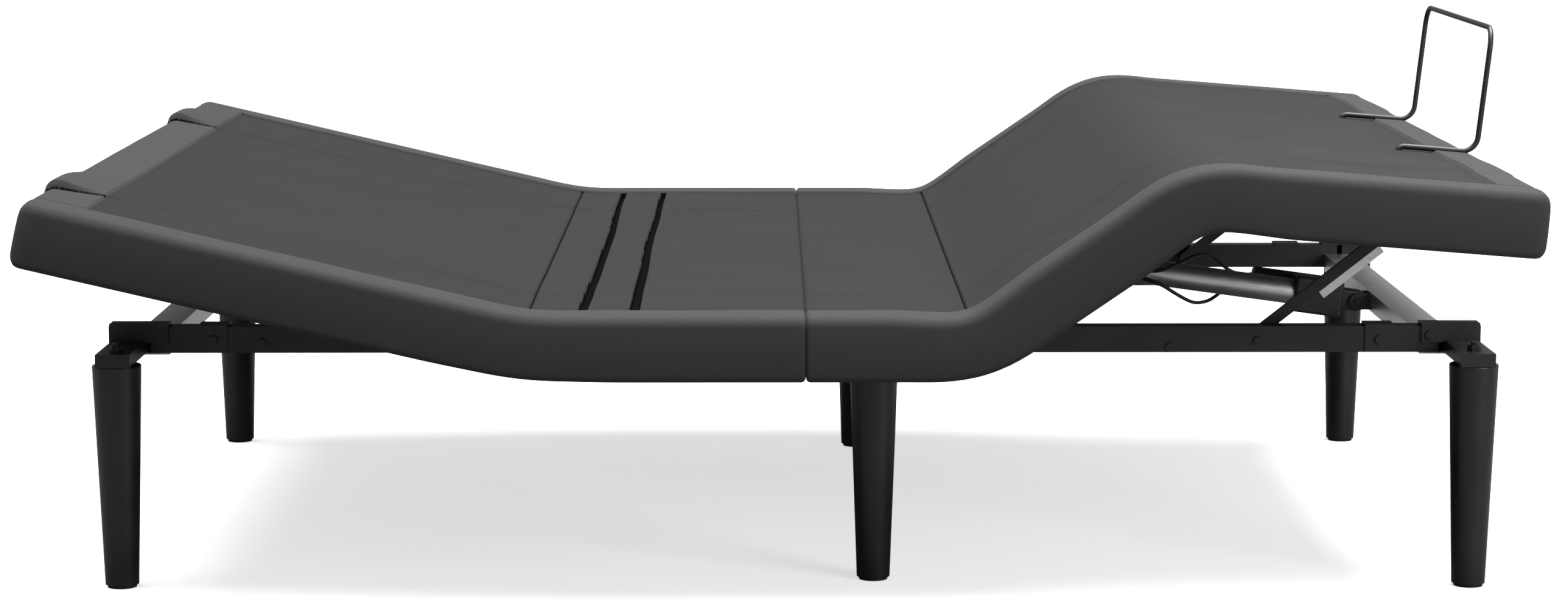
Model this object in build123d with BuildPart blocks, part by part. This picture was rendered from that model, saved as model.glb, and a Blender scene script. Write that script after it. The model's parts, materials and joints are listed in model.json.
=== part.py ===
"""Adjustable bed base: a steel frame on six legs carries a padded deck whose head, thigh
and calf sections are raised by two linear actuators.

+X runs from the head end to the foot end, +Y to the left of a person lying on the bed,
+Z up, with the floor at Z 0. All sizes are in millimetres. The deck is modelled with the
head, thigh and calf sections at their rest angles.
"""

import os
from math import asin, atan2, cos, degrees, hypot, radians, sin, tan

from build123d import *

os.makedirs("parts", exist_ok=True)

# Deck
deck_width = 1524.0
head_length = 659.0
thigh_length = 343.0
calf_length = 447.0
head_hinge_x = -343.0
split_x = 20.0
thigh_hinge_x = 239.0
hinge_z = 366.0
head_rest = 13.13
thigh_rest = 34.45
calf_rest = 4.56
head_most = 60.0
thigh_most = 45.0
calf_per_thigh = (thigh_rest + calf_rest) / thigh_rest

# Heights across the deck's thickness, measured from the hinge axis
board_low = 4.0
board_high = 19.0
pad_high = 31.0
edge_low = -53.0

# Edge padding round the deck
edge_thick = 40.0
half_width = deck_width / 2
pad_half = half_width - edge_thick
board_inset = 7.0
board_half = pad_half - board_inset
hinge_gap = 12.0
knee_gap = 8.0
joint_gap = 0.5
split_gap = 1.0
cut_spare = 1.5
knee_spare = 2.0

# Frame
frame_mid_x = 9.0
rail_half = 880.0
rail_outer = 455.0
rail_wide = 30.0
rail_inner = rail_outer - rail_wide
rail_low = 305.0
rail_high = 341.0
wall = 2.5
beam_inner = 860.0
beam_wide = 47.0
beam_low = 298.0
beam_high = 326.0
tube_x = 115.0
tube_wide = 40.0
tube_low = 300.0
tube_high = 328.0

# Legs
leg_x = 911.0
leg_y = 547.0
mid_leg_y = 502.0
leg_top = 304.0
leg_foot_radius = 22.5
leg_top_radius = 33.0
glide_high = 4.0
arm_plate_wide = 46.0
arm_plate_high = 18.0

# Lifting gear
lift_z = 322.0
lift_tube_radius = 15.0
roller_radius = 18.0
roller_y = 300.0
roller_wide = 24.0
roller_drop = 21.0
track_clear = 3.0
pin_radius = 5.0
run_clear = 0.05
head_lift_x = -403.0
head_arm = 250.0
head_lever = 60.0
head_lever_flat = -118.0
foot_lift_x = 359.0
foot_arm = 190.0
foot_lever = 70.0
foot_lever_flat = -5.0
eye_clear_head = 9.0
eye_clear_foot = 11.0

# Calf links
link_x = 641.0
link_length = 305.0
link_y = 408.0
link_thick = 8.0
link_pin_u = 362.0
link_pin_w = -20.0

# Actuators: rear pins
head_pin_x, head_pin_z = 72.0, 298.0
foot_pin_x, foot_pin_z = 850.0, 312.0


def side_plane(x, z, tilt=0.0):
    """Upright lengthwise plane through (x, z): its own X along the tilted section."""
    slope = (cos(radians(tilt)), 0, sin(radians(tilt)))
    return Plane(origin=(x, 0, z), x_dir=slope, z_dir=(0, -1, 0))


def slab(plane, points, low_y, high_y, mode=Mode.ADD):
    """Outline in a lengthwise plane, made solid from low_y to high_y."""
    with BuildSketch(plane.offset(-high_y)) as outline:
        with BuildLine():
            Polyline(*points, close=True)
        make_face()
    extrude(outline.sketch, amount=high_y - low_y, mode=mode)


def block(plane, low_u, high_u, low_w, high_w, low_y, high_y, mode=Mode.ADD):
    """Rectangular slab in a section's own directions."""
    corners = [(low_u, low_w), (high_u, low_w), (high_u, high_w), (low_u, high_w)]
    slab(plane, corners, low_y, high_y, mode)


def rod(plane, u, w, radius, low_y, high_y, mode=Mode.ADD):
    """Round bar or bore across the bed."""
    with BuildSketch(plane.offset(-high_y)) as outline:
        with Locations((u, w)):
            Circle(radius)
    extrude(outline.sketch, amount=high_y - low_y, mode=mode)


def rod_along(plane, u_low, u_high, w, y, radius, mode=Mode.ADD):
    """Round bar or bore along a section's own X."""
    start = plane.from_local_coords((u_low, w, -y))
    across = Plane(origin=start, z_dir=plane.x_dir)
    with BuildSketch(across) as outline:
        Circle(radius)
    extrude(outline.sketch, amount=u_high - u_low, mode=mode)


def link_plate(plane, length, wide, low_y, high_y, tilt=0.0):
    """Flat bar with round ends, from the plane's origin out to length."""
    middle = Vector(length / 2, 0).rotate(Axis.Z, tilt)
    with BuildSketch(plane.offset(-high_y)) as outline:
        with Locations((middle.X, middle.Y)):
            SlotCenterToCenter(length, wide, rotation=tilt)
    extrude(outline.sketch, amount=high_y - low_y)


def save(name, builder):
    builder.part.label = name
    export_step(builder.part, f"parts/{name}.step")


def sides():
    return (("right", -1), ("left", 1))


def span(side, near, far):
    """Y limits of a piece on one side, from its distances off the middle."""
    return (near, far) if side > 0 else (-far, -near)


level = side_plane(0, 0)
head = side_plane(head_hinge_x, hinge_z, -head_rest)
thigh = side_plane(thigh_hinge_x, hinge_z, thigh_rest)
knee_x = thigh_hinge_x + thigh_length * cos(radians(thigh_rest))
knee_z = hinge_z + thigh_length * sin(radians(thigh_rest))
calf = side_plane(knee_x, knee_z, -calf_rest)
seat = side_plane(0, hinge_z)

# ---------------------------------------------------------------- deck boards and padding
head_cut = pad_high * tan(radians(head_most / 2)) + cut_spare
thigh_cut = pad_high * tan(radians(thigh_most / 2)) + cut_spare
knee_fold = thigh_most * calf_per_thigh
knee_cut = -edge_low * tan(radians(knee_fold / 2)) + knee_spare
slat_joints = (-269.0, -204.0)
slat_gap = 8.0

boards = {
    "head_board": (head, edge_thick + board_inset - head_length, -hinge_gap),
    "seat_board_head": (seat, slat_joints[1] + slat_gap / 2, split_x - split_gap),
    "seat_board_foot": (seat, split_x + split_gap, thigh_hinge_x - hinge_gap),
    "thigh_board": (thigh, hinge_gap, thigh_length - knee_gap),
    "calf_board": (calf, knee_gap, calf_length - edge_thick - board_inset),
}
slats = (
    (head_hinge_x + hinge_gap, slat_joints[0] - slat_gap / 2),
    (slat_joints[0] + slat_gap / 2, slat_joints[1] - slat_gap / 2),
)
bar_y = 250.0
bar_radius = 4.0
bar_hook_u = calf_length - 108
bar_hole_clear = 0.6
bar_pad_clear = 4.0
bar_hole_depth = 50.0


def bar_holes(clear):
    """Clearance holes for the retainer bar's two ends."""
    for side in (-1, 1):
        foot = calf.from_local_coords((bar_hook_u, 0, side * bar_y))
        with BuildSketch(Plane(origin=foot, z_dir=calf.y_dir)) as hole:
            Circle(bar_radius + clear)
        extrude(hole.sketch, amount=bar_hole_depth, mode=Mode.SUBTRACT)


for name, (plane, low_u, high_u) in boards.items():
    with BuildPart() as board:
        block(plane, low_u, high_u, board_low, board_high, -board_half, board_half)
        if name == "calf_board":
            bar_holes(bar_hole_clear)
    save(name, board)

with BuildPart() as lumbar_slats:
    for low_u, high_u in slats:
        block(seat, low_u, high_u, board_low, board_high, -board_half, board_half)
save("lumbar_slats", lumbar_slats)

with BuildPart() as lumbar_padding:
    for low_u, high_u in slats:
        low_u = max(low_u, head_hinge_x + head_cut)
        block(seat, low_u, high_u, board_high, pad_high, -pad_half, pad_half)
save("lumbar_padding", lumbar_padding)

head_outline = [
    (-head_length, edge_low),
    (-joint_gap, edge_low),
    (-joint_gap, 0),
    (-head_cut, pad_high),
    (-head_length, pad_high),
]
seat_head_outline = [
    (head_hinge_x + joint_gap, edge_low),
    (split_x - joint_gap, edge_low),
    (split_x - joint_gap, pad_high),
    (head_hinge_x + head_cut, pad_high),
    (head_hinge_x + joint_gap, 0),
]
seat_foot_outline = [
    (split_x + joint_gap, edge_low),
    (thigh_hinge_x - joint_gap, edge_low),
    (thigh_hinge_x - joint_gap, 0),
    (thigh_hinge_x - thigh_cut, pad_high),
    (split_x + joint_gap, pad_high),
]
thigh_outline = [
    (joint_gap, edge_low),
    (thigh_length - knee_cut, edge_low),
    (thigh_length - joint_gap, 0),
    (thigh_length - joint_gap, pad_high),
    (thigh_cut, pad_high),
    (joint_gap, 0),
]
calf_outline = [
    (knee_cut, edge_low),
    (calf_length, edge_low),
    (calf_length, pad_high),
    (joint_gap, pad_high),
    (joint_gap, 0),
]
padding = {
    "head_padding": (head, head_outline, edge_thick - head_length, -head_cut),
    "seat_padding_head": (seat, seat_head_outline, slat_joints[1] + slat_gap / 2,
                          split_x - joint_gap),
    "seat_padding_foot": (seat, seat_foot_outline, split_x + joint_gap,
                          thigh_hinge_x - thigh_cut),
    "thigh_padding": (thigh, thigh_outline, thigh_cut, thigh_length - joint_gap),
    "calf_padding": (calf, calf_outline, joint_gap, calf_length - edge_thick),
}
end_edges = {
    "head_padding": (-head_length, edge_thick - head_length),
    "calf_padding": (calf_length - edge_thick, calf_length),
}
pad_split = 0.05
for name, (plane, outline, low_u, high_u) in padding.items():
    with BuildPart() as pads:
        for side in (-1, 1):
            slab(plane, outline, *span(side, pad_half + pad_split, half_width))
        block(plane, low_u, high_u, board_high, pad_high, -pad_half, pad_half)
        if name == "calf_padding":
            bar_holes(bar_pad_clear)
        if name in end_edges:
            low_end, high_end = end_edges[name]
            low_end += pad_split if name == "calf_padding" else 0
            high_end -= pad_split if name == "head_padding" else 0
            block(plane, low_end, high_end, edge_low, pad_high, -pad_half, pad_half)
    save(name, pads)


def leaf(plane, way, middle_y, holds_pin):
    """Half of a butt hinge under the boards, on the way side of the plane's origin."""
    outer = hinge_leaf_wide / 2
    inner = outer - knuckle_long
    near, far = sorted((way * (knuckle_radius + leaf_clear), way * leaf_reach))
    block(plane, near, far, leaf_low, board_low, middle_y - outer, middle_y + outer)
    if holds_pin:
        limits = [(-outer, -inner), (inner, outer)]
    else:
        limits = [(knuckle_clear - inner, inner - knuckle_clear)]
    for low_y, high_y in limits:
        rod(plane, 0, 0, knuckle_radius, middle_y + low_y, middle_y + high_y)
        near, far = sorted((0, way * (knuckle_radius + 2 * leaf_clear)))
        block(plane, near, far, leaf_low, board_low, middle_y + low_y, middle_y + high_y)
    if holds_pin:
        rod(plane, 0, 0, hinge_pin_radius, middle_y - outer, middle_y + outer)
    else:
        rod(plane, 0, 0, hinge_pin_radius + run_clear, middle_y - outer, middle_y + outer,
            Mode.SUBTRACT)


hinge_leaf_wide = 52.0
leaf_reach = 38.0
leaf_low = 1.0
leaf_clear = 0.5
knuckle_radius = 5.0
knuckle_long = 17.0
knuckle_clear = 1.0
hinge_pin_radius = 2.5
hinge_places = (-520.0, -170.0, 170.0, 520.0)
seat_at_head = side_plane(head_hinge_x, hinge_z)
seat_at_thigh = side_plane(thigh_hinge_x, hinge_z)
thigh_at_knee = side_plane(knee_x, knee_z, thigh_rest)
leaves = {
    "seat_hinge_leaves": ((seat_at_head, 1, False), (seat_at_thigh, -1, False)),
    "head_hinge_leaves": ((head, -1, True),),
    "thigh_hinge_leaves": ((thigh, 1, True), (thigh_at_knee, -1, False)),
    "calf_hinge_leaves": ((calf, 1, True),),
}
for name, halves in leaves.items():
    with BuildPart() as hinge_leaves:
        for plane, way, holds_pin in halves:
            for middle_y in hinge_places:
                leaf(plane, way, middle_y, holds_pin)
    save(name, hinge_leaves)

# ---------------------------------------------------------------- frame
past = 1.0
beam_places = {
    "head_beam": frame_mid_x - beam_inner - beam_wide,
    "foot_beam": frame_mid_x + beam_inner,
}
for side_name, side in sides():
    low_y, high_y = span(side, rail_inner, rail_outer)
    with BuildPart() as rail:
        ends = (frame_mid_x - rail_half, frame_mid_x + rail_half)
        block(level, *ends, rail_low, rail_high, low_y, high_y)
        block(level, ends[0] - past, ends[1] + past, rail_low + wall, rail_high - wall,
              low_y + wall, high_y - wall, Mode.SUBTRACT)
        rod(level, link_x, lift_z, pin_radius + run_clear, low_y - past, high_y + past,
            Mode.SUBTRACT)
    save(f"side_rail_{side_name}", rail)

headboard_hole_radius = 4.5
headboard_hole_y = 380.0
for name, low_x in beam_places.items():
    with BuildPart() as beam:
        block(level, low_x, low_x + beam_wide, beam_low, beam_high, -rail_inner, rail_inner)
        block(level, low_x + wall, low_x + beam_wide - wall, beam_low + wall, beam_high - wall,
              -rail_inner - past, rail_inner + past, Mode.SUBTRACT)
        if name == "head_beam":
            with BuildSketch(Plane(origin=(low_x - past, 0, (beam_low + beam_high) / 2),
                                   x_dir=(0, 1, 0), z_dir=(1, 0, 0))):
                with Locations((-headboard_hole_y, 0), (headboard_hole_y, 0)):
                    Circle(headboard_hole_radius)
            extrude(amount=wall + 2 * past, mode=Mode.SUBTRACT)
    save(name, beam)

with BuildPart() as centre_tube:
    low_x = tube_x - tube_wide / 2
    block(level, low_x, low_x + tube_wide, tube_low, tube_high, -rail_inner, rail_inner)
    block(level, low_x + wall, low_x + tube_wide - wall, tube_low + wall, tube_high - wall,
          -rail_inner - past, rail_inner + past, Mode.SUBTRACT)
save("centre_tube", centre_tube)

bearer_inset = 42.0
bearer_inner = rail_inner + 2.0
bearer_outer = rail_outer - 4.0
with BuildPart() as deck_bearers:
    ends = (head_hinge_x + bearer_inset, thigh_hinge_x - bearer_inset)
    for side in (-1, 1):
        low_y, high_y = span(side, bearer_inner, bearer_outer)
        block(level, *ends, rail_high, hinge_z + board_low, low_y, high_y)
        block(level, ends[0] - past, ends[1] + past, rail_high + wall,
              hinge_z + board_low - wall, low_y + wall, high_y - wall, Mode.SUBTRACT)
save("deck_bearers", deck_bearers)

# Corner brackets: an outer cheek plate on the rail's end and a hollow arm out over the leg
cheek_thick = 4.0
cheek_reach = (856.0, 937.0)
cheek_low = 319.0
cheek_shoulder = 342.0
cheek_high = 348.0
cheek_chamfer = 6.0
cap_high = 345.0
bolt_hole = 5.5
bolt_reach = 60.0
arm_past_leg = 33.0
arm_out = leg_y + arm_past_leg
with BuildPart() as corner_brackets:
    for end in (-1, 1):
        foot_x = frame_mid_x + end * leg_x
        cheek = [frame_mid_x + end * reach for reach in cheek_reach]
        arm_ends = (foot_x - arm_plate_wide / 2, foot_x + arm_plate_wide / 2)
        cheek_outline = [(cheek[0], cheek_low), (cheek[1], cheek_low), (cheek[1], cheek_shoulder),
                         (cheek[1] - end * cheek_chamfer, cheek_high), (cheek[0], cheek_high)]
        for side in (-1, 1):
            slab(level, cheek_outline, *span(side, rail_outer, rail_outer + cheek_thick))
            block(level, *sorted(cheek), rail_high, cap_high, *span(side, rail_inner, rail_outer))
            block(level, *arm_ends, leg_top, leg_top + arm_plate_high,
                  *span(side, rail_inner, arm_out))
            block(level, *arm_ends, leg_top + arm_plate_high, rail_high,
                  *span(side, rail_inner, rail_outer))
            with Locations((foot_x, side * leg_y, leg_top)):
                Cylinder(bolt_hole, bolt_reach, mode=Mode.SUBTRACT)
save("corner_brackets", corner_brackets)

mid_arm_out = mid_leg_y + arm_past_leg
with BuildPart() as mid_brackets:
    arm_ends = (tube_x - arm_plate_wide / 2, tube_x + arm_plate_wide / 2)
    for side in (-1, 1):
        block(level, *arm_ends, leg_top, leg_top + arm_plate_high,
              *span(side, rail_outer, mid_arm_out))
        with Locations((tube_x, side * mid_leg_y, leg_top)):
            Cylinder(bolt_hole, bolt_reach, mode=Mode.SUBTRACT)
save("mid_brackets", mid_brackets)

# ---------------------------------------------------------------- legs
leg_places = {}
for side_name, side in sides():
    leg_places[f"leg_head_{side_name}"] = (frame_mid_x - leg_x, side * leg_y)
    leg_places[f"leg_mid_{side_name}"] = (tube_x, side * mid_leg_y)
    leg_places[f"leg_foot_{side_name}"] = (frame_mid_x + leg_x, side * leg_y)
upward = (Align.CENTER, Align.CENTER, Align.MIN)
stud_low = 262.0
stud_long = 72.0
stud_radius = 5.0
stud_spare = 4.0
leg_shoulder = 2.0
glide_inset = 3.0
for name, (x, y) in leg_places.items():
    with BuildPart(Plane(origin=(x, y, glide_high))) as leg:
        Cone(leg_foot_radius, leg_top_radius, leg_top - glide_high, align=upward)
        fillet(leg.edges().filter_by(GeomType.CIRCLE).group_by(Axis.Z)[-1], leg_shoulder)
        with Locations((0, 0, stud_low - glide_high - stud_spare)):
            Cylinder(bolt_hole, stud_long, align=upward, mode=Mode.SUBTRACT)
    save(name, leg)

with BuildPart() as leg_glides:
    for x, y in leg_places.values():
        with Locations((x, y, 0)):
            Cylinder(leg_foot_radius - glide_inset, glide_high, align=upward)
save("leg_glides", leg_glides)

bolt_hex = 9.5
bolt_head_high = 8.0
screw_radius = 6.5
screw_high = 4.0
saddle_thick = 3.0
saddle_wide = 40.0
saddle_places = (-786.0, 808.0)
cheek_screw = (877.0, 330.0)
rail_screws = ((-592.0, 314.0), (-720.0, 318.0), (522.0, 312.0))
saddle_screws = [(x, 323.0) for x in saddle_places]
screw_rows = (
    (rail_outer, rail_screws),
    (rail_outer + saddle_thick, saddle_screws),
    (rail_outer + cheek_thick, (cheek_screw,)),
)
with BuildPart() as frame_bolts:
    for x, y in leg_places.values():
        with Locations((x, y, stud_low)):
            Cylinder(stud_radius, stud_long, align=upward)
        with BuildSketch(Plane(origin=(x, y, leg_top + arm_plate_high))):
            RegularPolygon(bolt_hex, 6)
        extrude(amount=bolt_head_high)
    for low, places in screw_rows:
        for x, z in places:
            for side in (-1, 1):
                rod(level, x, z, screw_radius, *span(side, low, low + screw_high))
save("frame_bolts", frame_bolts)

# Saddles that clamp the rails' end lengths
with BuildPart() as rail_saddles:
    saddle_high = rail_high + saddle_thick
    for x in saddle_places:
        ends = (x - saddle_wide / 2, x + saddle_wide / 2)
        for side in (-1, 1):
            block(level, *ends, rail_low + past, saddle_high,
                  *span(side, rail_outer, rail_outer + saddle_thick))
            block(level, *ends, rail_high, saddle_high,
                  *span(side, rail_inner - saddle_thick, rail_outer))
save("rail_saddles", rail_saddles)


# ---------------------------------------------------------------- lifting gear
def arm_angle(hinge_x, lift_x, arm, tilt):
    """Angle at which a lift arm's roller meets a section raised by tilt."""
    reach = abs(lift_x - hinge_x)
    drop = hinge_z - lift_z
    offset = reach * sin(radians(tilt)) + drop * cos(radians(tilt)) - roller_drop
    return tilt + degrees(asin(offset / arm))


def arm_line(hinge_x, lift_x, arm, most):
    """Arm angle on the flat bed, and its turn for each degree of the section."""
    flat = arm_angle(hinge_x, lift_x, arm, 0)
    return flat, (arm_angle(hinge_x, lift_x, arm, most) - flat) / most


def roller_path(hinge_x, lift_x, arm, most, tilt):
    """Roller centre in the section's own directions when the section is at tilt."""
    flat, turn = arm_line(hinge_x, lift_x, arm, most)
    angle = radians(flat + turn * tilt)
    along = abs(lift_x - hinge_x) + arm * cos(angle)
    rise = lift_z - hinge_z + arm * sin(angle)
    back = radians(tilt)
    return along * cos(back) + rise * sin(back), rise * cos(back) - along * sin(back)


gear = {
    "head": (head, -1, head_hinge_x, head_lift_x, head_arm, head_most, head_rest,
             head_lever, head_lever_flat),
    "foot": (thigh, 1, thigh_hinge_x, foot_lift_x, foot_arm, thigh_most, thigh_rest,
             foot_lever, foot_lever_flat),
}
arm_wide = 26.0
arm_thick = 6.0
arm_outer_gap = 2.0
lever_wide = 30.0
lever_inner = 14.0
boss_radius = 22.0
weld_clear = 0.02
shaft_radius = 6.0
shaft_clear = 0.1
shaft_past = 12.0
lever_pin_half = 20.0
tube_end_gap = 4.0
track_run_out = 14.0
lever_pins = {}
for end_name, values in gear.items():
    plane, way, hinge_x, lift_x, arm, most, rest, lever, lever_flat = values
    flat, turn = arm_line(hinge_x, lift_x, arm, most)
    arm_now = flat + turn * rest
    lever_now = lever_flat + turn * rest
    axis = side_plane(lift_x, lift_z)
    arm_x = way * arm * cos(radians(arm_now))
    arm_z = arm * sin(radians(arm_now))
    arm_tilt = degrees(atan2(arm_z, arm_x))
    lever_x = way * lever * cos(radians(lever_now))
    lever_z = lever * sin(radians(lever_now))
    lever_tilt = degrees(atan2(lever_z, lever_x))
    lever_pins[end_name] = (lift_x + lever_x, lift_z + lever_z)

    with BuildPart() as lift_tube:
        rod(axis, 0, 0, lift_tube_radius, tube_end_gap - rail_inner, rail_inner - tube_end_gap)
        rod(axis, 0, 0, lift_tube_radius - wall, -rail_inner, rail_inner, Mode.SUBTRACT)
    save(f"{end_name}_lift_tube", lift_tube)

    with BuildPart() as lift_arms:
        for side in (-1, 1):
            roller_edges = (roller_y - roller_wide / 2, roller_y + roller_wide / 2)
            inner_near = roller_edges[0] - arm_outer_gap - arm_thick
            for near in (inner_near, roller_edges[1] + arm_outer_gap):
                limits = span(side, near, near + arm_thick)
                link_plate(axis, arm, arm_wide, *limits, tilt=arm_tilt)
                rod(axis, 0, 0, boss_radius, *limits)
                rod(axis, 0, 0, lift_tube_radius + weld_clear, *limits, Mode.SUBTRACT)
                rod(axis, arm_x, arm_z, shaft_radius + shaft_clear, *limits, Mode.SUBTRACT)
            limits = span(side, lever_inner, lever_inner + arm_thick)
            link_plate(axis, lever, lever_wide, *limits, tilt=lever_tilt)
            rod(axis, 0, 0, boss_radius, *limits)
        rod(axis, lever_x, lever_z, pin_radius, -lever_pin_half, lever_pin_half)
        rod(axis, 0, 0, lift_tube_radius + weld_clear, -lever_wide, lever_wide, Mode.SUBTRACT)
    save(f"{end_name}_lift_arms", lift_arms)

    roller_out = roller_y + roller_wide / 2
    with BuildPart() as rollers:
        for side in (-1, 1):
            rod(axis, arm_x, arm_z, roller_radius,
                *span(side, roller_out - roller_wide, roller_out))
        rod(axis, arm_x, arm_z, shaft_radius, -roller_out - shaft_past, roller_out + shaft_past)
    save(f"{end_name}_rollers", rollers)

    # Track block under the board: its lower face follows the roller over the whole travel
    with BuildPart() as tracks:
        points = []
        for tilt in (0, most / 2, most):
            along, rise = roller_path(hinge_x, lift_x, arm, most, tilt)
            points.append((way * along, rise + roller_radius + track_clear))
        for side in (-1, 1):
            low_y, high_y = span(side, roller_out - roller_wide, roller_out)
            with BuildSketch(plane.offset(-high_y)):
                with BuildLine():
                    ThreePointArc(*points)
                    after = (points[0][0] + way * track_run_out, points[0][1])
                    before = (points[2][0] - way * track_run_out, points[2][1])
                    Polyline(points[0], after, (after[0], board_low), (before[0], board_low),
                             before, points[2])
                make_face()
            extrude(amount=high_y - low_y)
    save(f"{end_name}_roller_tracks", tracks)

bearing_half = 24.0
bearing_drop = 21.0
bearing_wide = 22.0
with BuildPart() as lift_bearings:
    for x in (head_lift_x, foot_lift_x):
        for side in (-1, 1):
            limits = span(side, rail_inner - bearing_wide, rail_inner)
            block(level, x - bearing_half, x + bearing_half, lift_z - bearing_drop,
                  rail_high - past, *limits)
            rod(level, x, lift_z, lift_tube_radius + run_clear, *limits, Mode.SUBTRACT)
save("lift_bearings", lift_bearings)

# ---------------------------------------------------------------- calf links
pin = calf.from_local_coords((link_pin_u, link_pin_w, 0))
link_now = degrees(atan2(pin.Z - lift_z, pin.X - link_x))
link_axis = side_plane(link_x, lift_z)
link_end = (link_length * cos(radians(link_now)), link_length * sin(radians(link_now)))
link_wide = 15.0
link_pin_in = 8.5
link_pin_out = 15.5
rail_pin_past = 6.0
with BuildPart() as calf_links:
    for side in (-1, 1):
        limits = span(side, link_y, link_y + link_thick)
        link_plate(link_axis, link_length, link_wide, *limits, tilt=link_now)
        rod(link_axis, *link_end, pin_radius,
            *span(side, link_y - link_pin_in, link_y + link_pin_out))
        rod(link_axis, 0, 0, pin_radius, *span(side, link_y, rail_outer + rail_pin_past))
save("calf_links", calf_links)

brace_ends = (108.0, 212.0)
brace_low, brace_high = -20.0, -2.0
brace_thick = 5.0
with BuildPart() as link_braces:
    slope = side_plane(link_x, lift_z, link_now)
    for side in (-1, 1):
        block(slope, *brace_ends, brace_low, brace_high,
              *span(side, link_y - brace_thick, link_y))
save("link_braces", link_braces)

bracket_radius = 20.0
bracket_hole = 11.0
bracket_thick = 4.0
bracket_drop = 8.0
bracket_places = (link_y - 8.0, link_y + link_thick + 3.0)
with BuildPart() as calf_brackets:
    for side in (-1, 1):
        for near in bracket_places:
            limits = span(side, near, near + bracket_thick)
            block(calf, link_pin_u - bracket_radius, link_pin_u + bracket_radius,
                  link_pin_w - bracket_drop, board_low, *limits)
            rod(calf, link_pin_u, link_pin_w, bracket_radius, *limits)
            rod(calf, link_pin_u, link_pin_w, bracket_hole, *limits, Mode.SUBTRACT)
save("calf_brackets", calf_brackets)

# ---------------------------------------------------------------- actuators
pins = {"head": (head_pin_x, head_pin_z), "foot": (foot_pin_x, foot_pin_z)}
eye_clear = {"head": eye_clear_head, "foot": eye_clear_foot}
stroke_used = {"head": 18.0, "foot": 35.0}
eye_radius = 16.0
eye_half = 11.0
eye_neck = 30.0
gearbox_ends = (24.0, 96.0)
gearbox_half = 27.0
gearbox_round = 5.0
motor_ends = (34.0, 150.0)
motor_cap_end = 156.0
motor_y = 52.0
motor_radius = 24.0
motor_cap_radius = 14.0
tube_radius = 19.0
tube_bore = 12.6
tube_floor = 4.0
tube_past = 5.0
tube_before_eye = 48.0
rod_radius = 12.5
rod_start = 110.0
rod_eye_wall = 6.0
rod_eye_half = 12.0
actuator_lines = {}
for end_name, (pin_x, pin_z) in pins.items():
    eye_x, eye_z = lever_pins[end_name]
    reach = hypot(eye_x - pin_x, eye_z - pin_z)
    tilt = degrees(atan2(eye_z - pin_z, eye_x - pin_x))
    line = side_plane(pin_x, pin_z, tilt)
    actuator_lines[end_name] = line
    shortest = reach - stroke_used[end_name]
    tube_end = shortest - tube_before_eye

    with BuildPart() as housing:
        rod(line, 0, 0, eye_radius, -eye_half, eye_half)
        block(line, 0, eye_neck, -eye_radius, eye_radius, -eye_half, eye_half)
        block(line, *gearbox_ends, -gearbox_half, gearbox_half, -gearbox_half, gearbox_half)
        fillet(housing.edges().filter_by(lambda e: e.length > 50), gearbox_round)
        rod(line, 0, 0, pin_radius + run_clear, -eye_half - past, eye_half + past,
            Mode.SUBTRACT)
    save(f"{end_name}_actuator_housing", housing)

    with BuildPart() as motor:
        rod_along(line, *motor_ends, 0, motor_y, motor_radius)
        rod_along(line, motor_ends[1], motor_cap_end, 0, motor_y, motor_cap_radius)
        block(line, 36, 84, -motor_radius, motor_radius, 20, gearbox_half, Mode.SUBTRACT)
    save(f"{end_name}_actuator_motor", motor)

    with BuildPart() as outer_tube:
        rod_along(line, gearbox_ends[1], tube_end, 0, 0, tube_radius)
        rod_along(line, gearbox_ends[1] + tube_floor, tube_end + tube_past, 0, 0, tube_bore,
                  Mode.SUBTRACT)
    save(f"{end_name}_actuator_tube", outer_tube)

    with BuildPart() as push_rod:
        rod_along(line, rod_start + stroke_used[end_name], reach, 0, 0, rod_radius)
        hole = pin_radius + eye_clear[end_name]
        rod(line, reach, 0, hole + rod_eye_wall, -rod_eye_half, rod_eye_half)
        rod(line, reach, 0, hole, -2 * rod_eye_half, 2 * rod_eye_half, Mode.SUBTRACT)
    save(f"{end_name}_push_rod", push_rod)

clevis_radius = 12.0
clevis_limits = (12.0, 18.0)
clevis_pin_half = 22.0
with BuildPart() as actuator_clevises:
    backs = {"head": tube_x - tube_wide / 2, "foot": frame_mid_x + beam_inner}
    for end_name, (pin_x, pin_z) in pins.items():
        for side in (-1, 1):
            limits = span(side, *clevis_limits)
            block(level, *sorted((pin_x, backs[end_name])), pin_z - clevis_radius,
                  pin_z + clevis_radius, *limits)
            rod(level, pin_x, pin_z, clevis_radius, *limits)
        rod(level, pin_x, pin_z, pin_radius, -clevis_pin_half, clevis_pin_half)
save("actuator_clevises", actuator_clevises)

# ---------------------------------------------------------------- retainer bar
bar_lift = 0.3
bar_w = pad_high + bar_radius + bar_lift
bar_rise = 176.0
bar_lean = 8.6
bar_stand_off = 4.0
bar_tip = -8.0
bar_corners = (10.0, 22.0, 28.0, 28.0, 22.0, 10.0)
bar_path = [
    (bar_hook_u, -bar_y, bar_tip),
    (bar_hook_u, -bar_y, bar_w),
    (calf_length + bar_stand_off, -bar_y, bar_w),
    (calf_length + bar_lean, -bar_y, bar_w + bar_rise),
    (calf_length + bar_lean, bar_y, bar_w + bar_rise),
    (calf_length + bar_stand_off, bar_y, bar_w),
    (bar_hook_u, bar_y, bar_w),
    (bar_hook_u, bar_y, bar_tip),
]
bar_points = [calf.from_local_coords((u, w, y)) for u, y, w in bar_path]
with BuildPart() as retainer_bar:
    with BuildLine():
        FilletPolyline(*bar_points, radius=bar_corners)
    with BuildSketch(Plane(origin=bar_points[0], z_dir=calf.y_dir)):
        Circle(bar_radius)
    sweep()
save("retainer_bar", retainer_bar)

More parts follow.
